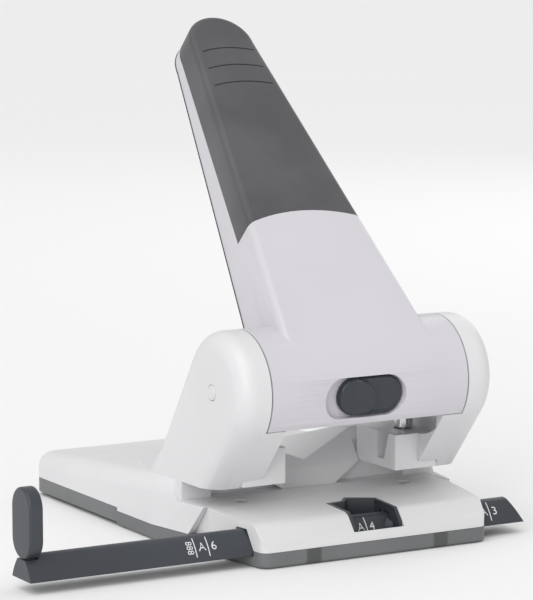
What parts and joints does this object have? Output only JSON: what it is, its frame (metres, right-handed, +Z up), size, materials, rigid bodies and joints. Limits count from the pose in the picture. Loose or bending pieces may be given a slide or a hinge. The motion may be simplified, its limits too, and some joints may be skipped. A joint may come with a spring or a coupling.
{
  "type": "hole punch",
  "caption": "Heavy-duty desk hole punch with a long press lever, twin pillars, sliding paper guide with end stop, lock slider and a hinged chip tray.",
  "frame": {"origin": "on the table plane, midway between the two punch pins", "axes": "+X to the user's right along the line of the holes, +Y to the rear, +Z up"},
  "size_m": [0.232, 0.1897, 0.2153],
  "materials": {
    "body_plastic": "light grey moulded plastic, fine satin",
    "table_plastic": "light grey moulded plastic, satin",
    "grip_rubber": "charcoal soft-touch moulding",
    "tray_plastic": "dark grey moulded plastic",
    "foot_rubber": "black rubber",
    "dark_plastic": "blue-grey moulded plastic, satin",
    "plated_steel": "zinc plated pressed steel",
    "ground_steel": "ground and polished steel",
    "tool_steel": "hardened tool steel",
    "spring_steel": "spring wire",
    "screw_steel": "plated screws"
  },
  "bodies": {
    "base": {"body_cover": "body_plastic", "paper_table": "table_plastic", "window_bezel": "dark_plastic", "chassis": "plated_steel", "axle": "ground_steel", "axle_caps": "body_plastic", "left_guide": "body_plastic", "right_guide": "body_plastic", "left_bush": "tool_steel", "right_bush": "tool_steel", "left_die": "tool_steel", "right_die": "tool_steel", "die_plate": "plated_steel", "die_screws": "screw_steel"},
    "lever": {"lever_shell": "body_plastic", "lever_grip": "grip_rubber", "lever_back": "body_plastic", "lever_core": "plated_steel", "drive_tube": "plated_steel", "left_cam": "tool_steel", "right_cam": "tool_steel", "return_spring": "spring_steel", "lever_screws": "screw_steel"},
    "lock": {"lock_slider": "dark_plastic", "lock_bar": "plated_steel"},
    "left_pin": {"left_punch": "ground_steel"},
    "right_pin": {"right_punch": "ground_steel"},
    "guide": {"guide_rail": "dark_plastic", "end_stop": "dark_plastic"},
    "tray": {"chip_tray": "tray_plastic", "rear_feet": "foot_rubber"}
  },
  "joints": [
    {"name": "lever_hinge", "type": "hinge", "parent": "base", "child": "lever", "pos_m": [0, -0.0141, 0.0687], "axis": [-1, 0, 0], "range_deg": [0, 45], "stiffness_Nm_per_rad": 0.6, "springref_deg": -51.57},
    {"name": "left_punch_slide", "type": "slide", "parent": "base", "child": "left_pin", "axis": [0, 0, -1], "range_m": [0, 0.0111]},
    {"name": "right_punch_slide", "type": "slide", "parent": "base", "child": "right_pin", "axis": [0, 0, -1], "range_m": [0, 0.0111]},
    {"name": "lock_slide", "type": "slide", "parent": "lever", "child": "lock", "axis": [-1, 0, 0], "range_m": [0, 0.006]},
    {"name": "guide_slide", "type": "slide", "parent": "base", "child": "guide", "axis": [1, 0, 0], "range_m": [-0.0615, 0.08]},
    {"name": "tray_hinge", "type": "hinge", "parent": "base", "child": "tray", "pos_m": [0, 0.146, 0.0065], "axis": [1, 0, 0], "range_deg": [0, 60]}
  ],
  "couplings": [
    {"joint": "left_punch_slide", "follows": "lever_hinge", "m_per_rad": 0.0141},
    {"joint": "right_punch_slide", "follows": "lever_hinge", "m_per_rad": 0.0141}
  ]
}
